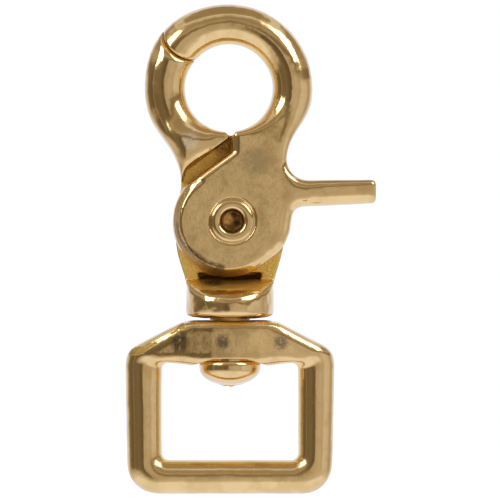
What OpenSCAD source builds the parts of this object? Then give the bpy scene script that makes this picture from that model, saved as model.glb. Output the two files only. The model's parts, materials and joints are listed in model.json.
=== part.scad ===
// Swivel trigger snap in solid brass. A fixed jaw and a sprung trigger jaw are half-lapped
// on a semi-tubular rivet, and turn on a headed stud in a strap eye.
// X runs across the strap, Y from front to back and Z up the swivel axis.
// The origin is the middle of the strap window.

/* [Strap eye] */
// Width of the strap window
strap_w = 25.5; // [20:0.5:40]
// Height of the strap window
window_h = 18.2; // [14:0.2:26]
// Width of a side bar at its top
side_bar_w = 6.9; // [5:0.1:9]
// Height of the bottom bar
bottom_bar_h = 6.4; // [5:0.1:9]
// Depth of the bars from front to back
bar_d = 6.6; // [5:0.1:8]
// How far each side bar narrows towards the bottom
side_taper = 0.4; // [0:0.1:1]
// Outer radius of the bottom corners
eye_corner_r = 5.5; // [4:0.1:7]
// Outer radius where the side bars turn into the shoulders
shoulder_r = 3.3; // [2:0.1:4.5]
// Radius of the window's corners
window_corner_r = 1.2; // [0.6:0.1:2.5]
// Height of the boss above the window
boss_h = 7.9; // [6:0.1:11]
// Width of the boss along its top
boss_top_w = 18; // [15:0.5:22]
// Depth of the boss from front to back
boss_d = 11.2; // [10.6:0.1:15]
// How far the shoulders drop from the boss to the side bars
shoulder_drop = 5.7; // [4:0.1:7]

/* [Swivel] */
// Diameter of the stud's shank
stud_d = 7.5; // [5.5:0.1:9]
// Diameter of the stud's button head
stud_head_d = 11.5; // [10:0.1:13.5]
// Height of the button head
stud_head_h = 4.7; // [3.5:0.1:6]
// Diameter of the collar on the fixed jaw
collar_d = 16.5; // [14.5:0.1:20]
// Height of the collar
collar_h = 6.1; // [5:0.1:8]
// Gap between the strap eye and the collar
swivel_gap = 0.4; // [0.3:0.05:1]

/* [Hook] */
// Inside diameter of the closed ring
ring_d = 16.4; // [13:0.1:20]
// Diameter of the ring's round section
rod_d = 7.6; // [6:0.05:9.2]
// Height of the pivot above the collar
pivot_rise = 12.1; // [11.7:0.1:15]
// Height of the ring's centre above the pivot
ring_rise = 24.9; // [23:0.1:30]
// Offset of the pivot to the right of the swivel axis
pivot_offset = 0.45; // [0:0.05:1]
// Offset of the ring to the left of the swivel axis
ring_offset = 0.25; // [0:0.05:1]
// Thickness of each jaw's lap plate
plate_t = 4.6; // [4:0.1:5.6]
// Radius of the trigger's disc
disc_r = 10.35; // [9:0.05:10.5]
// Radius of the fixed jaw's lap plate
fixed_plate_r = 10.3; // [9:0.1:10.5]
// Angle on the ring where the rounded trigger tip is centred
tip_angle = 138; // [125:1:142]
// Slope of the slot between the jaws
slot_slope = 36.5; // [25:0.5:42]

/* [Lever] */
// Reach of the lever from the pivot
lever_reach = 26.9; // [21:0.1:34]
// Height of the lever's centre line above the pivot
lever_rise = 5.2; // [4:0.1:6]
// Thickness of the lever at its root
lever_root_t = 5; // [4:0.1:6]
// Thickness of the lever at its tip
lever_tip_t = 4.5; // [3:0.1:6]
// Width of the lever from front to back at its tip
lever_tip_w = 7.6; // [6:0.1:9]
// Radius between the lever and the arm above it
crotch_r = 3.9; // [3:0.1:5]

/* [Rivet and spring] */
// Diameter of the rivet's shank
rivet_d = 6; // [5:0.1:7]
// Diameter of the rivet's rolled front flange
rivet_flange_d = 7.8; // [7:0.1:9]
// Diameter of the hole in the rivet
rivet_hole_d = 4.4; // [3:0.1:4.8]
// Diameter of the spring's wire
wire_d = 0.8; // [0.6:0.05:1]
// Turns of the spring
spring_turns = 2.5; // [1.5:1:2.5]

/* [Clearance] */
// Gap between the jaws' lap faces
lap_gap = 0.2; // [0.1:0.05:0.4]
// Gap round the lap discs
lap_clear = 0.55; // [0.4:0.05:0.8]
// Gap between the trigger's tip and its seat
tip_gap = 0.15; // [0.1:0.05:0.4]
// Radial gap of a turning fit
turn_gap = 0.06; // [0.02:0.01:0.1]
// Radial gap of a fixed fit
fixed_gap = 0.02; // [0.01:0.01:0.05]
// End play of the stud's head under the boss
head_play = 0.3; // [0.2:0.05:0.6]

/* [Hidden] */
$fn = 64;

brass = [0.80, 0.62, 0.30];
dark_brass = [0.62, 0.46, 0.20];
steel = [0.55, 0.55, 0.56];
corner_steps = 6;
round_share = 0.98;
plate_edge = 1.5;
disc_edge = 2;
cheek_edge = 2.3;
far = 60;

// Heights along the swivel axis
window_top = window_h / 2;
eye_top = window_top + boss_h;
collar_z = eye_top + swivel_gap;
neck_z = collar_z + collar_h;
pivot = [pivot_offset, neck_z + pivot_rise];
ring_c = [-ring_offset, pivot[1] + ring_rise];

// The ring and the two lap discs
ring_in = ring_d / 2;
rod_r = rod_d / 2;
ring_mid = ring_in + rod_r;
ring_out = ring_in + rod_d;
disc_shift = [-0.85, -0.15];
disc_c = pivot + disc_shift;
plate_drop = 0.3;
plate_c = [0, pivot[1] - plate_drop];
lap_r = max(disc_r + norm(disc_shift), fixed_plate_r + norm(plate_c - pivot)) + lap_clear;

// The slot: A at its top, B where it turns, C where it leaves the jaw's side
notch_z = ring_c[1] - ring_in;
notch_depth = 1.15;
notch_gap = 0.6;
notch_r = 0.85;
notch_lift = 0.15;
shoulder_depth = 3.6;
lap_over = 0.15;
slot_len = 9.8;
slot_end_angle = 147;
slot_a = [-lap_over - notch_gap, notch_z - notch_depth - pivot[1]];
slot_b = slot_a - slot_len * unit(slot_slope);
slot_c = lap_r * unit(slot_end_angle);
slot_line = [[slot_a[0], slot_a[1] + rod_d], slot_a, slot_b, slot_c];

// The neck's pocket falls away to the front from just under the trigger's disc
pocket_z = disc_c[1] - disc_r - lap_clear;
pocket_slope = 15;

// The stud, the dish its head turns in, and the well its upset end sits in
stud_r = stud_d / 2;
head_r = stud_head_d / 2;
head_sink = 0.4;
head_top = window_top + head_sink;
dish_clear = 0.35;
dish_r = head_r + dish_clear;
dish_floor = head_top + head_play;
boss_sag = 0.7;
window_sag = 0.3;
collar_r = collar_d / 2;
upset_r = stud_r + 0.9;
upset_h = 1.4;
well_r = upset_r + 0.4;
well_flare = 1;
upset_sink = 0.5;
upset_z = pocket_z - well_r * tan(pocket_slope) - upset_h - upset_sink;

// The rivet, and the spring in its groove between the lap faces

rivet_r = rivet_d / 2;
flange_r = rivet_flange_d / 2;
flange_t = 0.9;
flange_seat = 0.5;
rear_head_r = rivet_r + 1.5;
rear_head_h = 1.1;
rear_head_rim = 0.3;
rear_seat = 0.1;
seat_clear = 0.4;
seat_play = 0.02;
spring_r = rivet_r + 1.7;
spring_pitch = wire_d + 0.46;
spring_h = spring_turns * spring_pitch;
groove_half_h = spring_h / 2 + wire_d / 2 + 0.15;
leg_reach = groove_half_h + 0.9;
leg_angle = 90;
leg_bend_r = 0.7;

function unit(a) = [cos(a), sin(a)];
function mix(a, b, s) = a + (b - a) * s;
function ease(s) = s * s * (3 - 2 * s);
function flip_x(p, x0) = [2 * x0 - p[0], p[1]];
function on_ring(r, a) = ring_c + r * unit(a);

// The closed trigger's tip is thicker than the ring, and stands proud of it outside
tip_in = 0.15;
tip_out = 0.5;
tip_r = rod_r + (tip_in + tip_out) / 2;
tip_c = on_ring(ring_mid + (tip_out - tip_in) / 2, tip_angle);

// Its end is a round nose in front view, and it rests in a hollow about the same centre
nose_r = 1.32 * tip_r;
nose_edge = acos(tip_r / nose_r);
nose_c = tip_c - nose_r * sin(nose_edge) * unit(tip_angle + 90);

// Smooth curve from p to q that leaves along dp and arrives along dq
function curve(p, dp, q, dq, s) =
    let (d = norm(q - p), p1 = p + 0.36 * d * dp, q1 = q - 0.45 * d * dq, t = 1 - s)
    t * t * t * p + 3 * t * t * s * p1 + 3 * t * s * s * q1 + s * s * s * q;

// A rib is [inner point, outer point, half depth, inner edge radius, outer edge radius]
function rib(p, q, half, edge) = [p, q, half, edge, edge];
function round_rib(p, q) = rib(p, q, norm(q - p) / 2, norm(q - p) / 2);

// Points of one rib: a rounded rectangle across the line from its inner to its outer point
function rib_points(r) =
    let (w = norm(r[1] - r[0]) / 2, h = r[2], mid = (r[0] + r[1]) / 2, dir = (r[1] - r[0]) / (2 * w))
    [for (corner = [0:3], k = [0:corner_steps])
        let (
            a = 90 * corner + 90 * k / corner_steps,
            su = (corner == 0 || corner == 3) ? 1 : -1,
            sv = corner < 2 ? 1 : -1,
            e = min(su > 0 ? r[4] : r[3], round_share * w, round_share * h),
            u = su * (w - e) + e * cos(a),
            v = sv * (h - e) + e * sin(a)
        )
        [mid[0] + dir[0] * u, v, mid[1] + dir[1] * u]];

// Solid through a row of ribs, open with flat ends or closed into a loop
module loft(ribs, closed = false) {
    n = 4 * (corner_steps + 1);
    count = len(ribs);
    d = ribs[0][1] - ribs[0][0];
    m = ribs[1][0] + ribs[1][1] - ribs[0][0] - ribs[0][1];
    forward = d[0] * m[1] - d[1] * m[0] > 0;
    last = closed ? count - 1 : count - 2;
    sides = [for (i = [0:last], j = [0:n - 1])
        let (
            a = i * n + j,
            b = i * n + (j + 1) % n,
            c = ((i + 1) % count) * n + (j + 1) % n,
            e = ((i + 1) % count) * n + j
        )
        each [[a, c, b], [a, e, c]]];
    caps = closed ? [] : [[for (j = [0:n - 1]) j], [for (j = [n - 1:-1:0]) (count - 1) * n + j]];
    faces = concat(sides, caps);
    polyhedron([for (r = ribs) each rib_points(r)],
        forward ? faces : [for (f = faces) [for (i = [len(f) - 1:-1:0]) f[i]]]);
}

// Stand local Z along the front direction, at a point of the XZ plane
module facing_front(p) {
    translate([p[0], 0, p[1]]) rotate([90, 0, 0]) children();
}

// Revolved disc with a rounded front rim, from its back face to its front face
module round_disc(r, back, front, edge) {
    rim = [for (k = [0:corner_steps]) [r - edge, front - edge] + edge * unit(90 * k / corner_steps)];
    rotate_extrude() polygon(concat([[0, back], [r, back]], rim, [[0, front]]));
}

// Strap eye: half of its ribs, from the middle of the bottom bar up to the middle of the boss
eye_half_w = strap_w / 2;
eye_out = eye_half_w + side_bar_w;
eye_out_low = eye_out - side_taper;
eye_low = -window_top - bottom_bar_h;
slope_dir = [eye_out - boss_top_w / 2, -shoulder_drop] / norm([eye_out - boss_top_w / 2, shoulder_drop]);
shoulder_turn = 90 + atan2(slope_dir[1], slope_dir[0]);
side_top = [eye_out, eye_top - shoulder_drop - shoulder_r * tan(shoulder_turn / 2)];
shoulder_c = side_top - [shoulder_r, 0];
bend_c = [eye_out_low - eye_corner_r, eye_low + eye_corner_r];
window_low_c = [eye_half_w - window_corner_r, -window_top + window_corner_r];
window_high_c = [eye_half_w - window_corner_r, window_top - window_corner_r];
boss_corner = [boss_top_w / 2, eye_top];
bar_half_d = bar_d / 2;

// Edge radii: at the window's top, along the sloping shoulder, and under and over the boss
sill_edge = 1.5;
slope_edge = 2.4;
boss_low_edge = 2;
boss_top_edge = 1.4;

// Growth of the half depth: round each shoulder, up its slope, and over the crown of the boss
shoulder_half = bar_half_d + 0.8;
crown_half = boss_d / 2 - 0.6;

function bar_rib(p, q) = rib(p, q, bar_half_d, bar_half_d);
function shoulder_rib(p, q, s) =
    let (half = mix(bar_half_d, shoulder_half, ease(s)))
    [p, q, half, mix(bar_half_d, sill_edge, s), mix(bar_half_d, slope_edge, s)];
function slope_rib(p, q, s) =
    let (half = mix(shoulder_half, crown_half, s))
    [p, q, half, mix(sill_edge, boss_low_edge, s), mix(slope_edge, boss_top_edge, s)];
function boss_rib(p, q, s) =
    [p, q, mix(crown_half, boss_d / 2, ease(min(1, 1.5 * s))), boss_low_edge, boss_top_edge];

eye_half = concat(
    [for (s = [0:0.25:0.76])
        bar_rib([s * window_low_c[0], -window_top], [s * bend_c[0], eye_low])],
    [for (s = [0:0.125:1])
        let (turn = unit(90 * s - 90))
        bar_rib(window_low_c + window_corner_r * turn, bend_c + eye_corner_r * turn)],
    [for (s = [0.25:0.25:0.76])
        bar_rib([eye_half_w, mix(window_low_c[1], window_high_c[1], s)],
            [mix(eye_out_low, eye_out, s), mix(bend_c[1], side_top[1], s)])],
    [for (s = [0:0.125:1])
        shoulder_rib(window_high_c + window_corner_r * unit(90 * s),
            shoulder_c + shoulder_r * unit(shoulder_turn * s), s)],
    [for (s = [0.2:0.2:1])
        slope_rib([mix(window_high_c[0], boss_top_w / 2 - 0.4, s), window_top - window_sag * s],
            mix(shoulder_c + shoulder_r * unit(shoulder_turn), boss_corner - [0, 0.2], s), s)],
    [for (s = [0.2:0.2:1])
        let (sag = mix(window_sag, boss_sag, ease(min(1, 3 * s))))
        boss_rib([mix(boss_top_w / 2 - 0.4, 0, s), window_top - sag],
            [mix(boss_top_w / 2 - 0.8, 0, s), eye_top], s)]
);
eye_loop = concat(eye_half, [for (i = [len(eye_half) - 2:-1:1])
    [flip_x(eye_half[i][0], 0), flip_x(eye_half[i][1], 0), eye_half[i][2], eye_half[i][3], eye_half[i][4]]]);

module strap_eye() {
    dish_z = window_top - boss_sag - 1;
    color(brass) difference() {
        loft(eye_loop, true);
        translate([0, 0, dish_z]) cylinder(h = far, r = stud_r + turn_gap);
        translate([0, 0, dish_z])
            cylinder(h = dish_floor - dish_z, r1 = dish_r + 1.2 * (dish_floor - dish_z), r2 = dish_r);
    }
}

// Headed stud: button head below, shank, and an upset end in the neck's well
module swivel_stud() {
    rim_z = head_top - 1.4;
    low_z = head_top - stud_head_h;
    pip_r = 0.9;
    dome = [for (a = [78:-13:0]) [head_r * cos(a), rim_z - (rim_z - low_z) * sin(a)]];
    outline = concat(
        [[0, low_z - 0.1], [pip_r, low_z + 0.05]],
        dome,
        [[head_r, rim_z + 0.5], [head_r - 0.25, head_top - 0.4], [head_r - 0.7, head_top]],
        [[stud_r, head_top], [stud_r, upset_z], [upset_r, upset_z], [upset_r, upset_z + 0.6]],
        [[stud_r, upset_z + upset_h - 0.2], [stud_r - 1, upset_z + upset_h], [0, upset_z + upset_h]]
    );
    color(dark_brass) rotate_extrude() polygon(outline);
}

// Ribs shared by both jaws where an arm runs down from the ring into its lap plate
function plate_rib(p, q, s) =
    let (e = mix(rod_r, plate_edge, ease(s)), half = mix(rod_r, plate_t - 0.02, ease(s)))
    rib(p, q, half, e);

// Fixed jaw: left arm of the ring
waist_in = 0.75;
waist_rise = 6.4;
left_waist = pivot + [waist_in - fixed_plate_r, waist_rise];
left_leave = 195;
rear_shoulder = [pivot[0] + lap_over, notch_z - shoulder_depth];
left_notch = 270 + asin((rear_shoulder[0] - ring_c[0]) / ring_in);
left_top = tip_angle - 1;
rear_touch = plate_c + (fixed_plate_r - 0.6) * unit(50);
left_arm = concat(
    [for (i = [0:9])
        let (a = mix(left_top, left_leave, i / 9), swell = ease(max(0, 1 - i / 7)))
        round_rib(on_ring(ring_in - tip_in * swell, a), on_ring(ring_out + tip_out * swell, a))],
    [for (i = [1:12])
        plate_rib(on_ring(ring_in, mix(left_leave, left_notch, i / 12)),
            curve(on_ring(ring_out, left_leave), unit(left_leave + 90), left_waist, [0, -1], i / 12),
            i / 12)],
    [for (i = [1:2])
        plate_rib(mix(on_ring(ring_in, left_notch), rear_shoulder, i / 2), left_waist - [0.15, 0.7] * i, 1)],
    [for (i = [1:4])
        plate_rib(mix(rear_shoulder, rear_touch, i / 4), left_waist - [0.3 + 0.15 * i, 1.4 + 0.9 * i], 1)]
);

// Neck: from the width of the lap plate down to the round collar
neck_ribs = [for (i = [0:8])
    let (
        s = i / 8,
        z = mix(pivot[1] - 2, neck_z - 0.6, s),
        w = mix(fixed_plate_r - 0.1, collar_r - 0.1, ease(pow(s, 1.3))),
        half = mix(plate_t - 0.05, collar_r - 0.1, ease(s))
    )
    rib([-w, z], [w, z], half, mix(plate_edge, collar_r, ease(s)))];

// Everything in front of the lap face, on the pivot's side of the slot and above the pocket
module front_lap() {
    p = [for (q = slot_line) pivot + q];
    intersection() {
        rotate([90, 0, 0]) translate([0, 0, -lap_gap / 2]) linear_extrude(far)
            polygon(concat(p, [[-far, p[3][1]], [-far, 0], [far, 0], [far, p[0][1]]]));
        translate([0, 0, pocket_z]) rotate([pocket_slope, 0, 0]) translate([-far, -far, 0])
            cube([2 * far, 2 * far, far]);
    }
}

// Groove for the spring's coil in a lap face, with the hole for its leg at the given angle
module spring_seat(angle) {
    rotate_extrude() translate([spring_r - wire_d, -far])
        square([2 * wire_d, far + groove_half_h]);
    rotate(angle) translate([spring_r, 0]) cylinder(h = leg_reach + 0.4, r = wire_d / 2 + 0.2);
}

// Rounded bottom of the notch between the jaws, right through from front to back
module notch_scallop() {
    facing_front([pivot[0] - notch_gap / 2, notch_z + notch_lift])
        cylinder(h = far, r = notch_r, center = true);
}

module fixed_jaw() {
    color(brass) difference() {
        union() {
            loft(left_arm);
            mirror([0, 1, 0]) facing_front(plate_c) round_disc(fixed_plate_r, -2, plate_t, plate_edge);
            loft(neck_ribs);
            translate([0, 0, collar_z]) rotate_extrude() polygon([
                [0, 0], [stud_r + 1, 0], [collar_r - 1.4, 0.25], [collar_r - 0.5, 0.5], [collar_r - 0.1, 0.9],
                [collar_r, 1.4], [collar_r, collar_h - 1], [collar_r - 0.25, collar_h - 0.3],
                [collar_r - 0.7, collar_h], [0, collar_h]
            ]);
        }
        front_lap();
        facing_front(nose_c) cylinder(h = far, r = nose_r + tip_gap, center = true);
        notch_scallop();
        cylinder(h = upset_z + upset_h, r = stud_r + fixed_gap);
        translate([0, 0, upset_z - 0.05])
            cylinder(h = pocket_z + 1.5 - upset_z, r1 = well_r, r2 = well_r + well_flare);
        facing_front(pivot) cylinder(h = far, r = rivet_r + fixed_gap, center = true);
        mirror([0, 1, 0]) facing_front(pivot) {
            translate([0, 0, plate_t - rear_seat]) cylinder(h = far, r = rear_head_r + seat_clear);
            spring_seat(leg_angle);
        }
    }
}

// Trigger jaw: rounded tip, right arm of the ring, shoulder and front lap disc
right_leave = -8;
front_shoulder = [pivot[0] - lap_over, notch_z - shoulder_depth];
right_notch = asin((front_shoulder[0] - ring_c[0]) / ring_in) - 90;
lever_top = pivot[1] + lever_rise + lever_root_t / 2;
lever_low = lever_top - lever_root_t;
right_waist = [pivot[0] + disc_r - 0.15, lever_top + crotch_r];
shoulder_gap = front_shoulder - disc_c;
touch_angle = atan2(shoulder_gap[1], shoulder_gap[0]) + acos(disc_r / norm(shoulder_gap));
front_touch = disc_c + (disc_r - 0.1) * unit(touch_angle);
nose_reach = nose_r * (1 - sin(nose_edge)) + 0.4;
right_arm = concat(
    [for (i = [0:2])
        let (c = tip_c + nose_reach * (1 - i / 3) * unit(tip_angle + 90))
        round_rib(c - tip_r * unit(tip_angle), c + tip_r * unit(tip_angle))],
    [for (i = [0:20])
        let (a = mix(tip_angle, right_leave, i / 20), swell = ease(max(0, 1 - i / 6)))
        round_rib(on_ring(ring_in - tip_in * swell, a), on_ring(ring_out + tip_out * swell, a))],
    [for (i = [1:12])
        plate_rib(on_ring(ring_in, mix(right_leave, right_notch, i / 12)),
            curve(on_ring(ring_out, right_leave), unit(right_leave - 90), right_waist, [-0.1, -1], i / 12),
            i / 12)],
    [for (i = [1:2])
        plate_rib(mix(on_ring(ring_in, right_notch), front_shoulder, i / 2),
            right_waist - [0.04, 0.9] * i, 1)],
    [for (i = [1:5])
        plate_rib(mix(front_shoulder, front_touch, i / 5),
            right_waist - [0.08 + 0.1 * i, 1.8 + 1.6 * i], 1)]
);

// Lever: straight ribs out to the rounded tip, starting inside its root
lever_tip_z = pivot[1] + lever_rise + 0.3;
root_low_r = 1.9;
root_low = [pivot[0] + disc_r + 0.85, lever_low - root_low_r];
tip_x = pivot[0] + lever_reach;
tip_edge = 0.9;
lever_low_a = root_low + [root_low_r, root_low_r];
lever_low_b = [tip_x - tip_edge, lever_tip_z - lever_tip_t / 2];
lever_high_a = right_waist + [crotch_r, -crotch_r];
lever_high_b = [tip_x - tip_edge, lever_tip_z + lever_tip_t / 2];
lever_ribs = concat(
    [for (s = [-0.15, 0, 0.25, 0.5, 0.75, 1])
        [mix(lever_low_a, lever_low_b, s), mix(lever_high_a, lever_high_b, s),
            mix(plate_t - 0.08, lever_tip_w / 2, max(0, s)),
            cheek_edge, mix(plate_edge, tip_edge, max(0, s))]],
    [for (a = [30:30:90])
        let (
            x = tip_x - tip_edge * (1 - sin(a)),
            cut = 0.7 * tip_edge * (1 - cos(a)),
            h = lever_tip_t / 2 - cut
        )
        [[x, lever_tip_z - h], [x, lever_tip_z + h], lever_tip_w / 2 - cut, cheek_edge - cut, tip_edge]]
);

// Root of the lever: ribs that fan round the crotch above it, and round the cheek below it
root_depth = 0.84 * lever_root_t;
function root_rib(p, q, sink, edge) = [p, q, plate_t - sink, 0.05, edge];
crotch_c = right_waist + [crotch_r, 0];
crotch_ribs = [for (a = [0:15:90])
    root_rib(crotch_c - (crotch_r + root_depth) * unit(a), crotch_c - crotch_r * unit(a),
        0.06, plate_edge)];
cheek_angle = -60;
cheek = disc_c + (disc_r - 0.2) * unit(cheek_angle);
low_c = root_low + [root_low_r, 0];
cheek_ribs = concat(
    [for (s = [0:0.2:0.9])
        let (p = curve(cheek, unit(cheek_angle + 90), root_low, [0, 1], s))
        root_rib(p - root_depth * unit(cheek_angle * (1 - s)), p, 0.04, mix(disc_edge, cheek_edge, s))],
    [for (a = [0:15:90])
        root_rib(low_c - (root_low_r + root_depth) * unit(-a), low_c - root_low_r * unit(-a),
            0.04, cheek_edge)]
);

// Everything behind the lap face that the fixed jaw's plate needs, mirrored from the front slot
module rear_lap() {
    p = [for (q = slot_line) pivot + [-q[0], q[1]]];
    rotate([-90, 0, 0]) translate([0, 0, -lap_gap / 2]) mirror([0, 1, 0]) linear_extrude(far) {
        polygon(concat(p, [pivot, [-far, pivot[1]], [-far, p[0][1]]]));
        translate(pivot) circle(lap_r);
    }
}

// What is cut off the arm's straight end to leave a nose that is round in front view
module past_nose() {
    difference() {
        facing_front(tip_c) rotate(tip_angle + 90) translate([-0.3, -2 * tip_r, -far / 2])
            cube([nose_reach + 1, 4 * tip_r, far]);
        facing_front(nose_c) cylinder(h = 2 * far, r = nose_r, center = true);
    }
}

module trigger_jaw() {
    color(brass) difference() {
        union() {
            loft(right_arm);
            facing_front(disc_c) round_disc(disc_r, -2, plate_t, disc_edge);
            loft(lever_ribs);
            loft(crotch_ribs);
            loft(cheek_ribs);
        }
        rear_lap();
        past_nose();
        notch_scallop();
        facing_front(pivot) {
            cylinder(h = far, r = rivet_r + turn_gap, center = true);
            translate([0, 0, plate_t - flange_seat]) cylinder(h = far, r = flange_r + seat_clear);
            spring_seat(-leg_angle);
        }
    }
}

// Rivet: rolled open flange in front, solid low head at the back
module pivot_rivet() {
    front = plate_t - flange_seat + turn_gap;
    back = -plate_t + rear_seat - seat_play;
    hole_r = rivet_hole_d / 2;
    roll = (flange_r - hole_r) / 2;
    roll_c = [(flange_r + hole_r) / 2, front + flange_t / 2];
    rolled = [for (k = [0:8]) roll_c + [roll * cos(22.5 * k), flange_t / 2 * sin(22.5 * k)]];
    dome = [for (a = [75:-15:0])
        [rear_head_r * cos(a), back - rear_head_rim - (rear_head_h - rear_head_rim) * sin(a)]];
    outline = concat(
        [[0, back - rear_head_h]],
        dome,
        [[rear_head_r, back], [rivet_r, back], [rivet_r, front], [flange_r - 0.2, front]],
        rolled,
        [[hole_r, 0.9], [0, 0.2]]
    );
    color(dark_brass) facing_front(pivot) rotate_extrude() polygon(outline);
}

// Spring: one wire, from its leg in the trigger round the rivet to its leg in the fixed jaw.
// Each point of its path is [angle round the rivet, height towards the front].
coil_steps = round(12 * spring_turns);
bend_turn = leg_bend_r / spring_r * 180 / PI;
function bend(f) = [bend_turn * (1 - cos(f)), leg_bend_r * (1 - sin(f))];
wire_half = concat([[-leg_angle, leg_reach]],
    [for (f = [0:30:90]) [-leg_angle, spring_h / 2] + bend(f)]);
coil_turn = 360 * spring_turns;
wire_path = concat(
    wire_half,
    [for (i = [1:coil_steps - 1]) let (s = i / coil_steps)
        [-leg_angle + bend_turn + s * (coil_turn - 2 * bend_turn), spring_h * (0.5 - s)]],
    [for (i = [len(wire_half) - 1:-1:0]) [coil_turn - 2 * leg_angle - wire_half[i][0], -wire_half[i][1]]]
);
function wire_point(p) = [spring_r * cos(p[0]), spring_r * sin(p[0]), p[1]];
wire = [for (p = wire_path) wire_point(p)];
coil_pairs = [for (i = [0:len(wire) - 1], j = [i + 6:1:len(wire) - 1]) norm(wire[i] - wire[j])];
echo(coil_gap = min(coil_pairs) - wire_d);

module trigger_spring() {
    sides = 6;
    last = len(wire) - 1;
    points = [for (i = [0:last], k = [0:sides - 1])
        let (
            run = wire[min(last, i + 1)] - wire[max(0, i - 1)],
            along = run / norm(run),
            out = [cos(wire_path[i][0]), sin(wire_path[i][0]), 0],
            across = cross(along, out)
        )
        wire[i] + wire_d / 2 * (cos(60 * k) * out + sin(60 * k) * across)];
    walls = [for (i = [0:last - 1], k = [0:sides - 1])
        let (a = i * sides + k, b = i * sides + (k + 1) % sides)
        each [[a, b + sides, b], [a, a + sides, b + sides]]];
    caps = [[for (k = [0:sides - 1]) k], [for (k = [sides - 1:-1:0]) last * sides + k]];
    color(steel) facing_front(pivot) polyhedron(points, concat(walls, caps));
}

strap_eye();
swivel_stud();
fixed_jaw();
trigger_jaw();
pivot_rivet();
trigger_spring();
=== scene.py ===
import json
import math

import bpy
import numpy as np
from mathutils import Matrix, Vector
from mathutils.bvhtree import BVHTree


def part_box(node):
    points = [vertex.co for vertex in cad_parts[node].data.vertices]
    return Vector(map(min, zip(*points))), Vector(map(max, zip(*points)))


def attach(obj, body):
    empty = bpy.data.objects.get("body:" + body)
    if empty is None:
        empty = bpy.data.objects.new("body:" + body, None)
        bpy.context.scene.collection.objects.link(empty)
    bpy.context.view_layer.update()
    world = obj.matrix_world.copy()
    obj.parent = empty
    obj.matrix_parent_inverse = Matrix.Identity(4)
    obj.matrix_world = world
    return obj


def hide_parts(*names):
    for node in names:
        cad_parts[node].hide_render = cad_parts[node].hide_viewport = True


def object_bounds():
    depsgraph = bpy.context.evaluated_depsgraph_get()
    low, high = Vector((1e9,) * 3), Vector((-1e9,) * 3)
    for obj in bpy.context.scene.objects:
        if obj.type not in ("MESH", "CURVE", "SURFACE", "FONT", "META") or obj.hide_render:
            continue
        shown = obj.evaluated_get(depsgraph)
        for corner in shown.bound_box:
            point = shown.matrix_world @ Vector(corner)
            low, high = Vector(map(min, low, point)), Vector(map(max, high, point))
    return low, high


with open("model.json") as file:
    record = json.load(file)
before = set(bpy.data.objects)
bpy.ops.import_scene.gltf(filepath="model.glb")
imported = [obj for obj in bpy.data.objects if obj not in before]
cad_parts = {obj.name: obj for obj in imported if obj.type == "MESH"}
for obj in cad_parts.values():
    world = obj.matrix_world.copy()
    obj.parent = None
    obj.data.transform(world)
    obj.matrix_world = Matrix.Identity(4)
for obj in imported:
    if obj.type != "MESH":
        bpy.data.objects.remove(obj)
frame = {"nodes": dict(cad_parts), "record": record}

cad_low, cad_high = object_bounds()
MM = 0.001

# Strap eye: one brass casting, a rectangular loop under a thick boss that the stud turns in.
# It was tumbled and buffed all over, and the boss was linished flat on its front.


def casting(node, name, grain, tumbling, plug=None):
    """A copy of a casting's shape with its edges worn round, as a tumbling barrel leaves them.
    A plug is metal that runs into it without a seam."""
    bpy.ops.object.select_all(action="DESELECT")
    piece = bpy.data.objects.new(name, frame["nodes"][node].data.copy())
    bpy.context.scene.collection.objects.link(piece)
    bpy.context.view_layer.objects.active = piece
    piece.select_set(True)
    piece.data.materials.clear()
    if plug:
        plug.select_set(True)
        bpy.ops.object.join()
    bpy.ops.object.mode_set(mode="EDIT")
    bpy.ops.mesh.select_all(action="SELECT")
    bpy.ops.mesh.remove_doubles(threshold=0.002 * MM)
    bpy.ops.object.mode_set(mode="OBJECT")
    skin = piece.modifiers.new("skin", "REMESH")
    skin.mode = "VOXEL"
    skin.voxel_size = grain
    skin.use_smooth_shade = True
    bpy.ops.object.modifier_apply(modifier="skin")
    barrel = piece.modifiers.new("barrel", "SMOOTH")
    barrel.factor = 0.5
    barrel.iterations = tumbling
    bpy.ops.object.modifier_apply(modifier="barrel")
    bpy.ops.object.shade_smooth()
    return piece


def waver(piece, size, depth, share=None):
    """Waves in a surface, as wide and as deep as given, where a function of the place gives a share."""
    waves = bpy.data.textures.new(piece.name + "_waves", "CLOUDS")
    waves.noise_scale = size
    waves.noise_depth = 1
    wheel = piece.modifiers.new("wheel", "DISPLACE")
    wheel.texture = waves
    wheel.texture_coords = "LOCAL"
    wheel.strength = depth
    wheel.mid_level = 0.5
    if share:
        part = piece.vertex_groups.new(name="part")
        for vertex in piece.data.vertices:
            part.add([vertex.index], share(vertex.co), "REPLACE")
        wheel.vertex_group = "part"
    bpy.context.view_layer.objects.active = piece
    bpy.ops.object.modifier_apply(modifier="wheel")
    piece.vertex_groups.clear()


def metal_round_about():
    """All the metal of the closed hook, to find where a buffing wheel can't get in."""
    points, faces = [], []
    for part in frame["nodes"].values():
        first = len(points)
        points += [vertex.co.copy() for vertex in part.data.vertices]
        faces += [[first + corner for corner in face.vertices] for face in part.data.polygons]
    return BVHTree.FromPolygons(points, faces)


metal = metal_round_about()
AS_CAST = 0.65
WHEEL_REACH = 7 * MM
WHEEL_WIDTH = 30 * MM
WAYS_OUT = [Vector((math.sin(turn), math.cos(turn), 0)) for turn in (0.3, 1.56, 2.81, 4.07, 5.33)]
RING = [Vector(mount["pos_m"]) for mount in frame["record"]["mounts"] if mount["name"] == "hook_ring"][0]


def store(piece, name, values):
    """Stores a value on each point of a piece, for its material to read."""
    made = piece.data.attributes.new(name, "FLOAT", "POINT")
    made.data.foreach_set("value", values)


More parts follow.
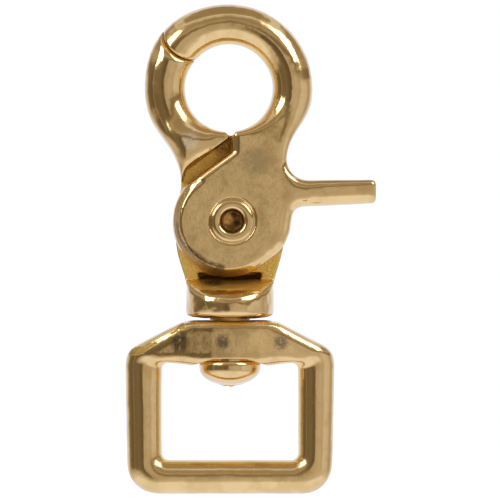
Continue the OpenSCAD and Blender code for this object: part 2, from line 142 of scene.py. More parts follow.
def mark_unbuffed(piece, known=None):
    """Marks where the wheel couldn't get: hollows under the ring, and the insides of the openings.
    A function can give the mark of the points where it is known."""
    hollows, insides = [], []
    for vertex in piece.data.vertices:
        out = vertex.normal
        told = known(vertex) if known else None
        if told is not None:
            hollows.append(told)
            insides.append(0.0)
            continue
        sideways = Vector((out.x, 0, out.z))
        lean = sideways.length
        across = lean > 0.5 and metal.ray_cast(vertex.co + 0.4 * MM * out, sideways / lean, WHEEL_WIDTH)[0]
        insides.append(lean if across else 0.0)
        lap_face = abs(vertex.co.y) < 0.4 * MM and abs(out.y) > 0.9
        if lap_face or vertex.co.z > RING.z - 6 * MM:
            hollows.append(AS_CAST if lap_face else 0.0)
            continue
        start = vertex.co + 0.25 * MM * out
        side = out.orthogonal().normalized()
        other = out.cross(side)
        blocked = 2 if metal.ray_cast(start, out, WHEEL_REACH)[0] else 0
        for way in WAYS_OUT:
            aslant = out + 1.1 * (way.x * side + way.y * other)
            blocked += 1 if metal.ray_cast(start, aslant.normalized(), WHEEL_REACH)[0] else 0
        hollows.append(blocked / (2 + len(WAYS_OUT)))
    store(piece, "hollow", hollows)
    store(piece, "inside", insides)


FLAT_BEND = 70


def mark_flats(piece):
    """Stores on each point how flat its surroundings are, from 0 on a rod to 1 on a linished face.
    A rod bends by more than FLAT_BEND radians to a metre."""
    points, edges = piece.data.vertices, piece.data.edges
    normals = np.zeros(3 * len(points))
    points.foreach_get("normal", normals)
    normals = normals.reshape(-1, 3)
    places = np.zeros(3 * len(points))
    points.foreach_get("co", places)
    places = places.reshape(-1, 3)
    ends = np.zeros(2 * len(edges), dtype=int)
    edges.foreach_get("vertices", ends)
    near, far = ends.reshape(-1, 2).T
    length = np.linalg.norm(places[near] - places[far], axis=1)
    bend = np.linalg.norm(normals[near] - normals[far], axis=1) / np.maximum(length, 0.01 * MM)
    shared = np.bincount(near, minlength=len(points)) + np.bincount(far, minlength=len(points))
    curved = np.bincount(near, bend, len(points)) + np.bincount(far, bend, len(points))
    curved = curved / np.maximum(shared, 1)
    for _ in range(6):
        around = np.bincount(near, curved[far], len(points)) + np.bincount(far, curved[near], len(points))
        curved = around / np.maximum(shared, 1)
    store(piece, "flat", np.clip(1.6 - curved / FLAT_BEND, 0, 1))


def put(tree, kind, **settings):
    """A new node of that kind, with its settings."""
    made = tree.nodes.new(kind)
    for key, value in settings.items():
        setattr(made, key, value)
    return made


def step(tree, value, start, end, low=0.0, high=1.0):
    """A soft step of a value, from low before start to high after end."""
    made = put(tree, "ShaderNodeMapRange", interpolation_type="SMOOTHSTEP")
    made.inputs["From Min"].default_value = start
    made.inputs["From Max"].default_value = end
    made.inputs["To Min"].default_value = low
    made.inputs["To Max"].default_value = high
    tree.links.new(value, made.inputs["Value"])
    return made.outputs["Result"]


def noise(tree, place, scale, detail, roughness=0.5):
    """Fractal noise over the given place, with that many lumps to a metre."""
    made = put(tree, "ShaderNodeTexNoise")
    made.inputs["Scale"].default_value = scale
    made.inputs["Detail"].default_value = detail
    made.inputs["Roughness"].default_value = roughness
    tree.links.new(place, made.inputs["Vector"])
    return made.outputs["Fac"]


# Marks that every worked brass surface here has: buffing hairs, satin grain, smudges, cast sand
marks = bpy.data.node_groups.new("brass_marks", "ShaderNodeTree")
marks.interface.new_socket("Place", in_out="INPUT", socket_type="NodeSocketVector")
for mark in ("Hairs", "Grain", "Smudges", "Sand"):
    marks.interface.new_socket(mark, in_out="OUTPUT", socket_type="NodeSocketFloat")
place = put(marks, "NodeGroupInput").outputs["Place"]
result = put(marks, "NodeGroupOutput")
along = put(marks, "ShaderNodeMapping")
along.inputs["Rotation"].default_value = (0.05, 0.05, 0.3)
along.inputs["Scale"].default_value = (3600, 3600, 420)
marks.links.new(place, along.inputs["Vector"])
marks.links.new(noise(marks, along.outputs["Vector"], 1.0, 3.0), result.inputs["Hairs"])
strokes = put(marks, "ShaderNodeMapping")
strokes.inputs["Rotation"].default_value = (0, 0.12, 0)
strokes.inputs["Scale"].default_value = (2600, 2600, 1100)
marks.links.new(place, strokes.inputs["Vector"])
marks.links.new(noise(marks, strokes.outputs["Vector"], 1.0, 4.0, 0.65), result.inputs["Grain"])
marks.links.new(step(marks, noise(marks, place, 210, 4.0, 0.6), 0.40, 0.66), result.inputs["Smudges"])
marks.links.new(noise(marks, place, 2300, 3.0, 0.6), result.inputs["Sand"])


def blend(tree, kind, factor, before, after):
    """A mix of two colours or two values by a factor."""
    mixed = put(tree, "ShaderNodeMix", data_type=kind)
    tree.links.new(factor, mixed.inputs["Factor"])
    sockets = [socket for socket in mixed.inputs if socket.enabled and socket.name in "AB"]
    for socket, value in zip(sockets, (before, after)):
        if isinstance(value, bpy.types.NodeSocket):
            tree.links.new(value, socket)
        else:
            socket.default_value = value
    return [socket for socket in mixed.outputs if socket.enabled][0]


def times(tree, one, other):
    """The product of two values."""
    made = put(tree, "ShaderNodeMath", operation="MULTIPLY")
    tree.links.new(one, made.inputs[0])
    tree.links.new(other, made.inputs[1])
    return made.outputs[0]


def relief(tree, height, strength, depth, below=None):
    """A bump of that depth and strength, on top of the one below."""
    made = put(tree, "ShaderNodeBump")
    made.inputs["Distance"].default_value = depth
    tree.links.new(height, made.inputs["Height"])
    if isinstance(strength, float):
        made.inputs["Strength"].default_value = strength
    else:
        tree.links.new(strength, made.inputs["Strength"])
    if below:
        tree.links.new(below, made.inputs["Normal"])
    return made.outputs["Normal"]


def cast_brass(name, gloss=0.12, satin=0.30, as_cast=(0.86, 0.55, 0.13, 1), spots=()):
    """Cast brass: mirror bright where the wheel ran, satin on linished flats, dull in its hollows, with
    painted shade darkening the deepest hollows.
    Spots, each given as its middle, its radius and its colour, paint stains, and also painted shade, painted
    highlights and painted dark reflections."""
    polished = (0.80, 0.535, 0.215, 1)
    tarnished = (0.66, 0.42, 0.145, 1)
    linished = (0.98, 0.665, 0.27, 1)
    unbuffed = (0.84, 0.56, 0.18, 1)
    flash = (0.62, 0.36, 0.06, 1)
    painted_deep_shade = (0.50, 0.30, 0.08, 1)
    made = bpy.data.materials.new(name)
    made.use_nodes = True
    tree = made.node_tree
    surface = tree.nodes["Principled BSDF"]
    surface.inputs["Metallic"].default_value = 1.0
    surface.inputs["Coat Roughness"].default_value = 0.08
    where = put(tree, "ShaderNodeTexCoord")
    marked = put(tree, "ShaderNodeGroup", node_tree=marks)
    tree.links.new(where.outputs["Object"], marked.inputs["Place"])
    sand, grain, smudged = (marked.outputs[mark] for mark in ("Sand", "Grain", "Smudges"))

    def attribute(name):
        return put(tree, "ShaderNodeAttribute", attribute_name=name).outputs["Fac"]

    flat = step(tree, attribute("flat"), 0.3, 0.9)
    hollow = step(tree, attribute("hollow"), 0.25, 0.60)
    deep = step(tree, attribute("hollow"), 0.80, 0.98)
    ragged = put(tree, "ShaderNodeMath", operation="MULTIPLY_ADD")
    tree.links.new(sand, ragged.inputs[0])
    ragged.inputs[1].default_value = 0.08
    tree.links.new(attribute("inside"), ragged.inputs[2])
    inside = step(tree, ragged.outputs[0], 0.74, 0.78)
    past_edge = step(tree, ragged.outputs[0], 0.78, 0.84, 1.0, 0.0)
    edge = times(tree, inside, past_edge)
    tone = blend(tree, "RGBA", step(tree, smudged, 0.0, 1.0, 0.0, 0.6), polished, tarnished)
    speckled = step(tree, grain, 0.30, 0.62, 0.55, 0.05)
    ground = blend(tree, "RGBA", speckled, linished, tarnished)
    ground = blend(tree, "RGBA", step(tree, smudged, 0.1, 1.0, 0.0, 0.75), ground, tarnished)
    tone = blend(tree, "RGBA", flat, tone, ground)
    tone = blend(tree, "RGBA", inside, tone, unbuffed)
    tone = blend(tree, "RGBA", edge, tone, flash)
    tone = blend(tree, "RGBA", hollow, tone, as_cast)
    # The deepest hollows are darkened further with painted shade
    tone = blend(tree, "RGBA", deep, tone, painted_deep_shade)
    # Spots paint stains, and on the jaw and the trigger they also paint painted shade, painted highlights and
    # painted dark reflections
    for middle, radius, colour in spots:
        apart = put(tree, "ShaderNodeVectorMath", operation="DISTANCE")
        tree.links.new(where.outputs["Object"], apart.inputs[0])
        apart.inputs[1].default_value = middle
        stain_and_painted_light = step(tree, apart.outputs["Value"], radius, 0.35 * radius)
        stain_and_painted_light = times(tree, stain_and_painted_light, step(tree, sand, 0.22, 0.56))
        tone = blend(tree, "RGBA", stain_and_painted_light, tone, colour)
    tree.links.new(tone, surface.inputs["Base Color"])
    rough = step(tree, smudged, 0.0, 1.0, gloss, gloss + 0.06)
    scratched = step(tree, grain, 0.3, 0.7, satin - 0.05, satin + 0.08)
    rough = blend(tree, "FLOAT", flat, rough, scratched)
    rough = blend(tree, "FLOAT", inside, rough, 0.26)
    rough = blend(tree, "FLOAT", hollow, rough, 0.5)
    tree.links.new(rough, surface.inputs["Roughness"])
    tree.links.new(step(tree, hollow, 0.0, 1.0, 0.6, 0.0), surface.inputs["Coat Weight"])
    skin = relief(tree, marked.outputs["Hairs"], 0.45, 0.008 * MM)
    skin = relief(tree, grain, step(tree, flat, 0.0, 1.0, 0.0, 0.5), 0.012 * MM, skin)
    skin = relief(tree, sand, step(tree, inside, 0.0, 1.0, 0.0, 0.35), 0.05 * MM, skin)
    skin = relief(tree, sand, step(tree, edge, 0.0, 1.0, 0.0, 0.9), 0.10 * MM, skin)
    skin = relief(tree, sand, step(tree, hollow, 0.0, 1.0, 0.0, 0.9), 0.22 * MM, skin)
    tree.links.new(skin, surface.inputs["Normal"])
    return made


def ramp(value, start, end):
    """A value's straight climb from 0 at start to 1 at end."""
    return min(1.0, max(0.0, (value - start) / (end - start)))


def wear(piece, share, passes):
    """Rubs a piece rounder, by the share from 0 to 1 that a function gives for each place on it."""
    rubbed = piece.vertex_groups.new(name="rubbed")
    for vertex in piece.data.vertices:
        amount = share(vertex.co)
        if amount > 0:
            rubbed.add([vertex.index], amount, "REPLACE")
    cloth = piece.modifiers.new("cloth", "SMOOTH")
    cloth.vertex_group = "rubbed"
    cloth.factor = 0.5
    cloth.iterations = passes
    bpy.context.view_layer.objects.active = piece
    bpy.ops.object.modifier_apply(modifier="cloth")
    piece.vertex_groups.clear()


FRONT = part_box("strap_eye")[0].y
CREASE_X, CREASE_WIDTH = -9.1 * MM, 0.7 * MM
BOSS_LOW, BOSS_HIGH = 11 * MM, 16 * MM
SHOULDER_SLOPE = 0.52
PANEL_DEPTH = 0.1 * MM


def crease(place):
    """The rough line across the boss's front where the grinding belt came to rest."""
    beside = max(0.0, 1 - abs(place.x - CREASE_X) / CREASE_WIDTH)
    return beside if place.y < 0 and BOSS_LOW < place.z < BOSS_HIGH else 0.0


def shoulder(place):
    """The sloping edges beside the boss, which rub on everything and are worn round."""
    across = abs(place.x)
    up_slope = place.z + SHOULDER_SLOPE * across
    return ramp(up_slope, 18.4 * MM, 19.8 * MM) * ramp(across, 7 * MM, 9 * MM)


def panel(place):
    """The left of the boss's front, where the belt went a little deeper."""
    left = ramp(place.x, 3.6 * MM, -3.0 * MM) if place.y < 0 else 0.0
    return left * ramp(place.z, BOSS_LOW - 2 * MM, BOSS_LOW)


eye = casting("strap_eye", "strap_eye_casting", 0.22 * MM, 10)
wear(eye, shoulder, 130)
for vertex in eye.data.vertices:
    vertex.co.y += PANEL_DEPTH * panel(vertex.co)
waver(eye, 9 * MM, 0.14 * MM)
waver(eye, 3.5 * MM, 0.05 * MM)
waver(eye, 0.5 * MM, 0.35 * MM, crease)
mark_unbuffed(eye)
mark_flats(eye)
waver(eye, 1.5 * MM, 0.03 * MM)
stain_and_painted_light = (0.30, 0.20, 0.09, 1)
eye_spots = [
    ((-1.3 * MM, FRONT, 13.0 * MM), 1.9 * MM, stain_and_painted_light),
    ((9.5 * MM, FRONT + 1 * MM, 12.9 * MM), 1.9 * MM, stain_and_painted_light),
    ((-9.2 * MM, FRONT + 1 * MM, 13.0 * MM), 2.4 * MM, stain_and_painted_light),
]
eye.data.materials.append(cast_brass("eye_brass", gloss=0.16, spots=eye_spots))
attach(eye, "eye")
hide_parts("strap_eye")

# Swivel stud: a pin turned from drawn brass. Its button head was peened over by hand, which
# left a small pip under it, and its other end is upset in the neck of the hook.


def turned(name, outline, place, facing):
    """A turned piece: a ring for each (radius, height) of its outline, drawn out from the last."""
    bpy.ops.object.select_all(action="DESELECT")
    first_r, first_h = outline[0]
    bpy.ops.mesh.primitive_circle_add(
        vertices=96, radius=first_r * MM, fill_type="TRIFAN", location=(0, 0, first_h * MM))
    piece = bpy.context.object
    piece.name = name
    bpy.ops.object.transform_apply()
    bpy.ops.object.mode_set(mode="EDIT")
    bpy.ops.mesh.select_mode(type="EDGE")
    bpy.ops.mesh.select_all(action="DESELECT")
    bpy.ops.mesh.select_non_manifold()
    for (r, h), (next_r, next_h) in zip(outline, outline[1:]):
        bpy.ops.mesh.extrude_region_move(TRANSFORM_OT_translate={"value": (0, 0, (next_h - h) * MM)})
        wider = next_r / r
        bpy.ops.transform.resize(value=(wider, wider, 1), center_override=(0, 0, next_h * MM))
    bpy.ops.mesh.merge(type="CENTER")
    bpy.ops.mesh.select_all(action="SELECT")
    bpy.ops.mesh.normals_make_consistent(inside=False)
    bpy.ops.object.mode_set(mode="OBJECT")
    piece.rotation_euler = facing
    piece.location = place
    bpy.ops.object.transform_apply()
    bpy.ops.object.shade_smooth_by_angle(angle=math.radians(40))
    return piece


def arc(middle_r, middle_h, wide, high, start, end, count):
    """Points (radius, height) along part of an ellipse, by its angles in degrees."""
    turns = [math.radians(start + (end - start) * step_no / count) for step_no in range(count + 1)]
    return [(middle_r + wide * math.cos(turn), middle_h + high * math.sin(turn)) for turn in turns]


# Sizes of the stud in millimetres, with its outline from the pip up to the upset end
stud_low, stud_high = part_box("swivel_stud")
HEAD_R = (stud_high.x - stud_low.x) / 2 / MM
HEAD_LOW = stud_low.z / MM + 0.1
HEAD_TOP = HEAD_LOW + 4.7
STUD_TOP = stud_high.z / MM
SHANK_R = 3.75
UPSET_R = SHANK_R + 0.3
stud_outline = (
    [(0.4, HEAD_LOW - 0.1), (0.75, HEAD_LOW - 0.06), (0.95, HEAD_LOW + 0.06), (1.3, HEAD_LOW + 0.1)]
    + arc(0, HEAD_TOP - 1.4, HEAD_R, 3.3, -75, 0, 24)
    + arc(HEAD_R - 0.7, HEAD_TOP - 0.9, 0.7, 0.9, 0, 90, 8)
    + [(SHANK_R, HEAD_TOP), (SHANK_R, STUD_TOP - 1.9), (UPSET_R, STUD_TOP - 1.9)]
    + arc(0, STUD_TOP - 1.7, UPSET_R, 1.7, 0, 85, 12)
)


def pip(place):
    """The bottom of the button, torn a little where it was peened."""
    low = ramp(place.z, (HEAD_LOW + 1) * MM, HEAD_LOW * MM)
    return low * ramp(math.hypot(place.x, place.y), 3.0 * MM, 1.0 * MM)


stud = turned("swivel_stud_turned", stud_outline, (0, 0, 0), (0, 0, 0))
waver(stud, 0.8 * MM, 0.8 * MM, pip)
rough_ends = [vertex.co.z > HEAD_TOP * MM or pip(vertex.co) > 0.4 for vertex in stud.data.vertices]
store(stud, "hollow", [AS_CAST if rough else 0.0 for rough in rough_ends])
stud.data.materials.append(cast_brass("stud_brass", gloss=0.13))
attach(stud, "hook")
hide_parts("swivel_stud")

# Fixed jaw: the body casting, with the left half of the ring, the rear lap plate, the neck
# and the collar. The lap faces stay as cast, and the outside was buffed.
COLLAR_H = 6.1 * MM
LIP_DIP, LIP_HALF = 0.7 * MM, 6.1 * MM
COLLAR_TAPER = 0.35 * MM
collar_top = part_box("fixed_jaw")[0].z + COLLAR_H


def lip(place):
    """The front of the collar's upper edge, which dips in the middle and is worn round."""
    upper = ramp(place.z, collar_top - 5.0 * MM, collar_top - 2.6 * MM)
    front = ramp(-place.y, 1.0 * MM, 3.5 * MM)
    return upper * front * ramp(math.hypot(place.x, place.y), 5.2 * MM, 6.2 * MM)


def collar(place):
    """The front of the collar, which was buffed by hand and isn't quite round."""
    return ramp(place.z, collar_top + 1 * MM, collar_top - 1 * MM) * ramp(-place.y, 0, 3 * MM)


# The trigger's nose beds at this angle on the ring, and points on round the ring
NOSE_TURN = math.radians(138)
NOSE = RING + 12 * MM * Vector((math.cos(NOSE_TURN), 0, math.sin(NOSE_TURN)))
NOSE_WAY = Vector((-math.sin(NOSE_TURN), 0, math.cos(NOSE_TURN)))
NOSE_REACH = 5.5 * MM


def neck(vertex):
    """The neck's marks: its floor and the nose's seat stayed as cast, and the collar's lip was buffed."""
    if (vertex.co - NOSE).length < NOSE_REACH and vertex.normal.dot(NOSE_WAY) < -0.6:
        return AS_CAST
    on_floor = vertex.normal.z > 0.75 and abs(vertex.co.z - collar_top - 1.2 * MM) < 2 * MM
    if on_floor and vertex.co.y < 0.5 * MM:
        return AS_CAST
    return 0.0 if lip(vertex.co) > 0.5 else None


WEB = RING + Vector((-4.75, 0, -11.5)) * MM
WEB_TILT_X, WEB_TILT_Z = 0.10, -0.06


def web(place):
    """The front of the web between the ring and the slot, which was ground a little out of square."""
    low = ramp(place.z, WEB.z - 5.5 * MM, WEB.z - 3.5 * MM)
    return low * ramp(place.z, WEB.z + 5 * MM, WEB.z + 2.5 * MM) * ramp(-place.y, 0.8 * MM, 2 * MM)


# The stud's end is peened into its well and dressed level with the neck's sloping floor
FLOOR_SLOPE = math.radians(15)
PLUG_R, PLUG_H = 6.2 * MM, 5 * MM
floor_top = Vector((0, 0, stud_high.z + 1.75 * MM))
floor_down = Vector((0, math.sin(FLOOR_SLOPE), -math.cos(FLOOR_SLOPE)))
bpy.ops.object.select_all(action="DESELECT")
bpy.ops.mesh.primitive_cylinder_add(
    vertices=64, radius=PLUG_R, depth=PLUG_H, rotation=(FLOOR_SLOPE, 0, 0),
    location=floor_top + PLUG_H / 2 * floor_down)
peened = bpy.context.object
bpy.ops.object.transform_apply()
jaw = casting("fixed_jaw", "fixed_jaw_casting", 0.19 * MM, 6, peened)
for vertex in jaw.data.vertices:
    askew = WEB_TILT_X * (vertex.co.x - WEB.x) + WEB_TILT_Z * (vertex.co.z - WEB.z)
    vertex.co.y += askew * web(vertex.co)
for vertex in jaw.data.vertices:
    vertex.co.z -= LIP_DIP * lip(vertex.co) * max(0.0, 1 - (vertex.co.x / LIP_HALF) ** 2)
wear(jaw, lip, 336)
for vertex in jaw.data.vertices:
    down = (collar_top - vertex.co.z) / COLLAR_H
    if down > 0.5 and math.hypot(vertex.co.x, vertex.co.y) > 5 * MM:
        vertex.co.y += COLLAR_TAPER * (1 - math.sin(math.pi * down)) * ramp(-vertex.co.y, 3 * MM, 6 * MM)
waver(jaw, 2.6 * MM, 0.22 * MM, collar)
waver(jaw, 9 * MM, 0.14 * MM)
waver(jaw, 3.5 * MM, 0.05 * MM)
mark_unbuffed(jaw, neck)
mark_flats(jaw)
waver(jaw, 1.5 * MM, 0.03 * MM)
# Painted light on the jaw: a painted shadow in the pocket's corner under the disc, painted shade at the
# slot's end, and a painted highlight on the web
jaw_painted_light_spots = [
    (Vector((-3.2, -2.0, 25.4)) * MM, 3.4 * MM, (0.06, 0.035, 0.012, 1)),
    (Vector((-1.0, 0, 50.5)) * MM, 3.6 * MM, (0.30, 0.17, 0.04, 1)),
    (Vector((-7.4, -3.8, 50.6)) * MM, 2.4 * MM, (1.0, 0.80, 0.50, 1)),
]
jaw.data.materials.append(cast_brass("jaw_brass", spots=jaw_painted_light_spots))
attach(jaw, "hook")
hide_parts("fixed_jaw")

# Trigger spring: hard-drawn steel wire coiled round the rivet, lightly oiled. It lies hidden in
# its groove between the lap faces, with a leg hooked in each jaw.
spring = frame["nodes"]["trigger_spring"]
spring.data.materials.clear()
wire = bpy.data.materials.new("spring_wire")
wire.use_nodes = True
tree = wire.node_tree
surface = tree.nodes["Principled BSDF"]
surface.inputs["Metallic"].default_value = 1.0
where = put(tree, "ShaderNodeTexCoord")
drawn = noise(tree, where.outputs["Object"], 1800, 4.0)
tree.links.new(step(tree, drawn, 0.3, 0.7, 0.24, 0.42), surface.inputs["Roughness"])
oiled = put(tree, "ShaderNodeMix", data_type="RGBA")
oiled.inputs["A"].default_value = (0.56, 0.56, 0.57, 1)
oiled.inputs["B"].default_value = (0.34, 0.32, 0.29, 1)
tree.links.new(drawn, oiled.inputs["Factor"])
tree.links.new(oiled.outputs["Result"], surface.inputs["Base Color"])
spring.data.materials.append(wire)

# Trigger jaw: the moving casting, with the right half of the ring, the front lap disc and the
# thumb lever. Its flat front was linished, and the ring and the lever were buffed bright.
moves = {joint["name"]: joint for joint in frame["record"]["behaviour"]["joints"]}
DISC = Vector(moves["trigger_pivot"]["pos_m"]) + Vector((-0.85, 0, -0.15)) * MM
DISC_R = 10.35 * MM
DISC_EDGE = 2 * MM
BEVEL_R = 8.9 * MM
BEVEL_DROP = 4.1 * MM
PLATE = 4.6 * MM
CROWN, NOSE_HALF = 0.2 * MM, 4.2 * MM


def nose(vertex):
    """The round end of the trigger's half of the ring, which beds in the other half and stays as cast."""
    at_end = (vertex.co - NOSE).length < NOSE_REACH and vertex.normal.dot(NOSE_WAY) > 0.6
    return AS_CAST if at_end else None


def bevel(place):
    """The disc's front rim on its left and underneath, where the casting's draft was ground to a bevel."""
    out = math.hypot(place.x - DISC.x, place.z - DISC.z)
    left = ramp(place.z, DISC.z + 7 * MM, DISC.z) * ramp(place.x, DISC.x + 2 * MM, DISC.x - 2 * MM)
    below = ramp(place.z, DISC.z - 4 * MM, DISC.z - 7 * MM) * ramp(place.x, DISC.x + 5 * MM, DISC.x)
    return max(left, below) * ramp(out, BEVEL_R - 1 * MM, BEVEL_R - 0.5 * MM) * ramp(-place.y, 0, 0.5 * MM)


LEVER_ROOT = Vector((11.8, 0, 38.2)) * MM


def root(place):
    """The hollow under the lever where it grows out of the disc, which thumbs have worn wide."""
    return ramp(math.hypot(place.x - LEVER_ROOT.x, place.z - LEVER_ROOT.z), 7 * MM, 3 * MM)


trigger = casting("trigger_jaw", "trigger_jaw_casting", 0.2 * MM, 11)
wear(trigger, root, 120)
for vertex in trigger.data.vertices:
    if nose(vertex):
        vertex.co += CROWN * max(0.0, 1 - (vertex.co.y / NOSE_HALF) ** 2) * vertex.normal
for vertex in trigger.data.vertices:
    out = math.hypot(vertex.co.x - DISC.x, vertex.co.z - DISC.z)
    if vertex.co.y < 0 and out > BEVEL_R - 1 * MM:
        if vertex.co.y < DISC_EDGE - PLATE:
            depth = BEVEL_DROP * ramp(out, BEVEL_R, DISC_R) - PLATE
        else:
            depth = vertex.co.y * (PLATE - BEVEL_DROP) / (PLATE - DISC_EDGE)
        vertex.co.y += (depth - vertex.co.y) * bevel(vertex.co)
wear(trigger, bevel, 3)
waver(trigger, 9 * MM, 0.14 * MM)
waver(trigger, 3.5 * MM, 0.05 * MM)
for vertex in trigger.data.vertices:
    vertex.co.x = min(vertex.co.x, cad_high.x - 0.01 * MM)
mark_unbuffed(trigger, nose)
mark_flats(trigger)
waver(trigger, 1.5 * MM, 0.03 * MM)
# A tarnished patch above the disc, and spots of painted dark reflection along the bevel's edge
trigger_tarnish_and_painted_reflection = [(Vector((4.4, -4.6, 46.8)) * MM, 3.5 * MM, (0.62, 0.42, 0.165, 1))]
painted_dark_reflection = (0.22, 0.12, 0.03, 1)
for angle in range(184, 268, 6):
    out = 9.4 * MM - 0.7 * MM * ramp(angle, 196, 230)
    depth = BEVEL_DROP * ramp(out, BEVEL_R, DISC_R) - PLATE
    turn = math.radians(angle)
    dark_reflection_place = DISC + Vector((out * math.cos(turn), depth, out * math.sin(turn)))
    trigger_tarnish_and_painted_reflection.append((dark_reflection_place, 1.1 * MM, painted_dark_reflection))
trigger.data.materials.append(cast_brass("trigger_brass", spots=trigger_tarnish_and_painted_reflection))
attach(trigger, "trigger")
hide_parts("trigger_jaw")

# Pivot rivet: a semi-tubular brass rivet. Its solid head is at the back, and its open end was
# rolled over on the front by a peg that left the hole rough and dark. Its outline is in
# millimetres, from the solid head to the bottom of the hole.
rivet_low, rivet_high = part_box("pivot_rivet")
REAR_R = (rivet_high.x - rivet_low.x) / 2 / MM
FRONT_H = -rivet_low.y / MM
REAR_H = -rivet_high.y / MM
FLANGE_R = 4.28
ROLL_R = 3.98
HOLE_R = 2.15
RIVET_SHANK_R = 3.0
rivet_outline = (
    [(0.5, REAR_H)]
    + arc(0, REAR_H + 0.8, REAR_R, 0.8, -80, 0, 14)
    + [(REAR_R, REAR_H + 1.1), (RIVET_SHANK_R, REAR_H + 1.1), (RIVET_SHANK_R, FRONT_H - 0.9)]
    + [(FLANGE_R - 0.1, FRONT_H - 0.9), (FLANGE_R, FRONT_H - 0.8), (FLANGE_R, FRONT_H - 0.5)]
    + [(FLANGE_R - 0.06, FRONT_H - 0.46), (ROLL_R + 0.02, FRONT_H - 0.45)]
    + arc(ROLL_R - 0.85, FRONT_H - 0.44, 0.85, 0.44, 3, 90, 14)
    + arc(HOLE_R + 0.75, FRONT_H - 0.75, 0.75, 0.75, 90, 180, 12)
    + [(HOLE_R - 0.05, 3.2), (HOLE_R - 0.3, 2.7), (1.2, 2.4), (0.4, 2.3)]
)
rivet_place = Vector(((rivet_low.x + rivet_high.x) / 2, 0, (rivet_low.z + rivet_high.z) / 2))
rivet = turned("pivot_rivet_turned", rivet_outline, rivet_place, (math.pi / 2, 0, 0))
mark_unbuffed(rivet)
soot = (0.05, 0.025, 0.01, 1)
hole_spots = [
    (rivet_place + Vector((-0.9, -2.5, 0.4)) * MM, 1.5 * MM, (0.90, 0.50, 0.13, 1)),
    (rivet_place + Vector((0.3, -2.4, 1.2)) * MM, 0.8 * MM, soot),
    (rivet_place + Vector((0.9, -2.5, -0.4)) * MM, 0.9 * MM, soot),
]
rivet.data.materials.append(cast_brass("rivet_brass", as_cast=(0.22, 0.11, 0.03, 1), spots=hole_spots))
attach(rivet, "hook")
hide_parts("pivot_rivet")

# Studio: a white table in a white room, with a dark curtain on the left and two square lamps
# in front, above the hook on its left and right.
bpy.ops.object.select_all(action="DESELECT")
bpy.ops.mesh.primitive_plane_add(size=0.3, location=(0, 0.02, cad_low.z - 0.2 * MM))
table = bpy.context.object
table.name = "white_table"
paper = bpy.data.materials.new("white_paper")
paper.use_nodes = True
tree = paper.node_tree
ray = put(tree, "ShaderNodeLightPath")
seen = put(tree, "ShaderNodeMath", operation="MAXIMUM")
tree.links.new(ray.outputs["Is Camera Ray"], seen.inputs[0])
tree.links.new(ray.outputs["Is Glossy Ray"], seen.inputs[1])
glow = put(tree, "ShaderNodeEmission")
glow.inputs["Color"].default_value = (1, 1, 1, 1)
tree.links.new(step(tree, seen.outputs[0], 0.0, 1.0, 0.0, 0.8), glow.inputs["Strength"])
matt = put(tree, "ShaderNodeBsdfDiffuse")
matt.inputs["Color"].default_value = (0.5, 0.5, 0.5, 1)
both = put(tree, "ShaderNodeAddShader")
tree.links.new(matt.outputs[0], both.inputs[0])
tree.links.new(glow.outputs[0], both.inputs[1])
tree.links.new(both.outputs[0], tree.nodes["Material Output"].inputs["Surface"])
tree.nodes.remove(tree.nodes["Principled BSDF"])
table.data.materials.append(paper)
table.visible_glossy = False

world = bpy.data.worlds.new("white_room")
bpy.context.scene.world = world
world.use_nodes = True
tree = world.node_tree
way = put(tree, "ShaderNodeTexCoord")
axes = put(tree, "ShaderNodeSeparateXYZ")
tree.links.new(way.outputs["Generated"], axes.inputs[0])


def wall(axis, start, end, before, level):
    """The room's brightness so far, turning to the given level from start to end along an axis."""
    return blend(tree, "FLOAT", step(tree, axes.outputs[axis], start, end), before, level)


# Light levels round the room by the angle from the camera, with a dark curtain on the left
ROUND_THE_ROOM = (
    (-180, 0.72), (-116, 0.72), (-104, 0.24), (-72, 0.15), (-67, 0.20), (-64, 0.55), (-61, 0.18), (-24, 0.22),
    (-8, 0.10), (-3, 0.58), (14, 0.57), (17, 0.63), (44, 0.57), (48, 0.76), (82, 0.70), (104, 0.50),
    (126, 0.66), (180, 0.66),
)
ahead = put(tree, "ShaderNodeMath", operation="MULTIPLY")
tree.links.new(axes.outputs["Y"], ahead.inputs[0])
ahead.inputs[1].default_value = -1
turn = put(tree, "ShaderNodeMath", operation="ARCTAN2")
tree.links.new(axes.outputs["X"], turn.inputs[0])
tree.links.new(ahead.outputs[0], turn.inputs[1])
share = put(tree, "ShaderNodeMapRange")
share.inputs["From Min"].default_value = -math.pi
share.inputs["From Max"].default_value = math.pi
tree.links.new(turn.outputs[0], share.inputs["Value"])
walls = put(tree, "ShaderNodeValToRGB")
tree.links.new(share.outputs["Result"], walls.inputs["Fac"])
levels = walls.color_ramp.elements
for angle, level in ROUND_THE_ROOM[1:-1]:
    levels.new(0.5 + angle / 360)
for stop, (angle, level) in zip(levels, ROUND_THE_ROOM):
    stop.color = (level, level, level, 1)
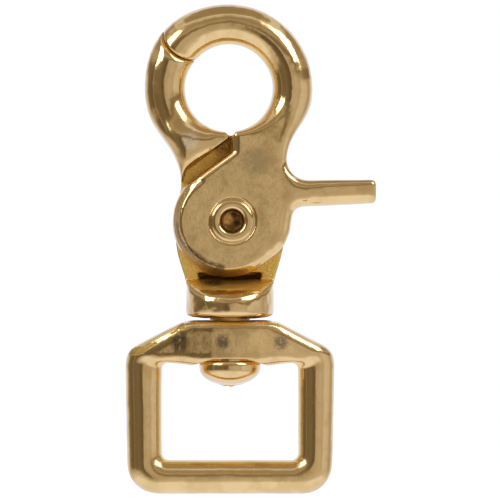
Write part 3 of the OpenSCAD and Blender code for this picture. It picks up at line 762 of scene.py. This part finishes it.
# Bands above the camera's level up to a strip light and the ceiling, then the floor below it
BANDS = (
    (0.11, 0.19, 0.22), (0.24, 0.32, 0.50), (0.38, 0.46, 0.38), (0.70, 0.76, 0.8), (0.82, 0.88, 0.38),
    (-0.20, -0.38, 0.66), (-0.40, -0.60, 1.0),
)
room = walls.outputs["Color"]
for start, end, level in BANDS:
    room = wall("Z", start, end, room, level)
room = wall("Y", 0.45, 0.75, room, 0.92)
ray = put(tree, "ShaderNodeLightPath")
shown = put(tree, "ShaderNodeMix", data_type="FLOAT")
shown.inputs["B"].default_value = 1.0
tree.links.new(ray.outputs["Is Camera Ray"], shown.inputs["Factor"])
tree.links.new(room, shown.inputs["A"])
tree.links.new(shown.outputs["Result"], tree.nodes["Background"].inputs["Strength"])
warm, cool = (1, 0.88, 0.70, 1), (1, 1.08, 1.35, 1)
tint = blend(tree, "RGBA", step(tree, shown.outputs["Result"], 0.2, 1.0), warm, cool)
tree.links.new(tint, tree.nodes["Background"].inputs["Color"])

LAMP_SIZE = 0.26
LAMP_POWER = 1.0
HOOK_MIDDLE = Vector((0, 0, 0.035))


def softbox(name, way_to):
    """A square lamp half a metre off in the given direction, facing the hook."""
    place = HOOK_MIDDLE + 0.5 * Vector(way_to).normalized()
    light = bpy.data.lights.new(name, "AREA")
    light.size = LAMP_SIZE
    light.energy = LAMP_POWER
    light.color = (0.72, 0.83, 1.0)
    lamp = bpy.data.objects.new(name, light)
    bpy.context.scene.collection.objects.link(lamp)
    lamp.location = place
    lamp.rotation_euler = (HOOK_MIDDLE - place).to_track_quat("-Z", "Y").to_euler()


softbox("left_lamp", (-0.68, -0.56, 0.48))
softbox("right_lamp", (0.65, -0.49, 0.58))

# Camera: square on to the front, far enough back that the ring and the eye are seen level.
# A millimetre of the hook takes 5.36 of the picture's 500 points.
VIEW_WIDTH = 500 / 5.36 * MM
DISTANCE = 0.9
camera = bpy.data.cameras.new("camera")
camera.sensor_width = 36
camera.lens = 36 * DISTANCE / VIEW_WIDTH
camera.clip_end = 10
seat = bpy.data.objects.new("camera", camera)
bpy.context.scene.collection.objects.link(seat)
seat.location = (3.77 * MM, -DISTANCE - 4 * MM, 30.2 * MM)
seat.rotation_euler = (math.pi / 2, 0, 0)
bpy.context.scene.camera = seat
bpy.context.scene.view_settings.view_transform = "Standard"
